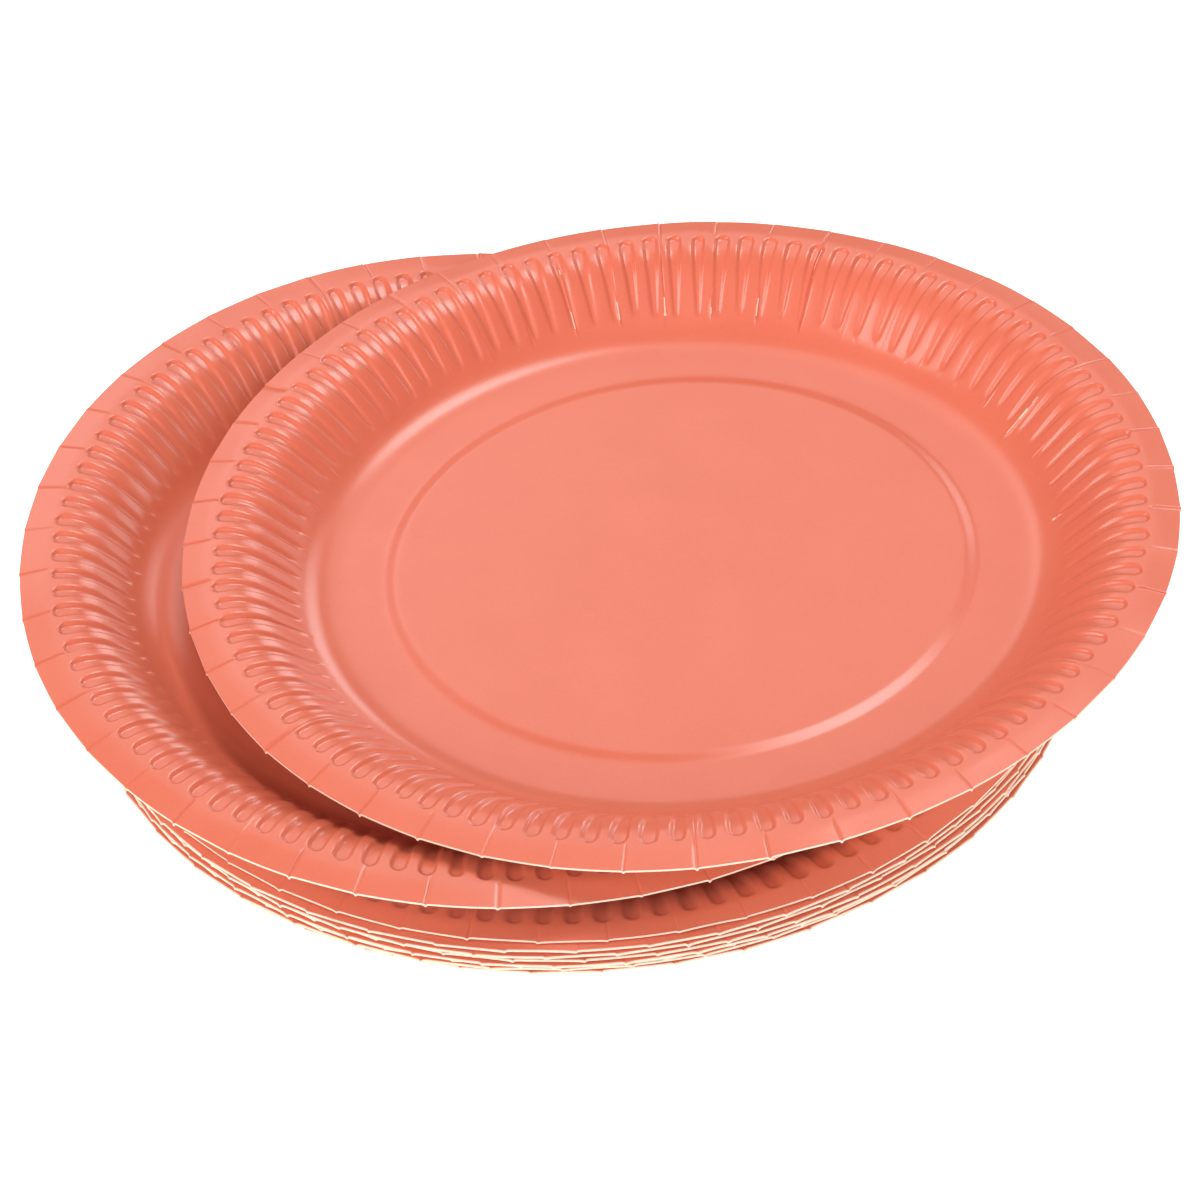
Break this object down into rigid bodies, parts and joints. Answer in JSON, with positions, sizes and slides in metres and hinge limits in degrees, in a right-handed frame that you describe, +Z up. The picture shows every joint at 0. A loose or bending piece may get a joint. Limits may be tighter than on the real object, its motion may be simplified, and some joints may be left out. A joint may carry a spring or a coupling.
{
  "type": "stack of paper plates",
  "caption": "Nested pile of round pressed board plates with fluted walls and flat creased rims, the upper two lying loose and tilted",
  "frame": {"origin": "on the table, on the axis of the nested pile, at the underside of the lowest plate", "axes": "+Z up along the axis of the nested pile; +X to the right and -Y towards the viewer in the picture's view"},
  "size_m": [0.2661, 0.2357, 0.0471],
  "materials": {
    "board": "smooth, lightly coated, cream at the cut edge"
  },
  "bodies": {
    "root": {"plate_01": "board", "plate_02": "board", "plate_03": "board", "plate_04": "board", "plate_05": "board", "plate_06": "board", "plate_07": "board", "plate_08": "board", "plate_09": "board", "plate_10": "board", "plate_11": "board"}
  },
  "joints": []
}
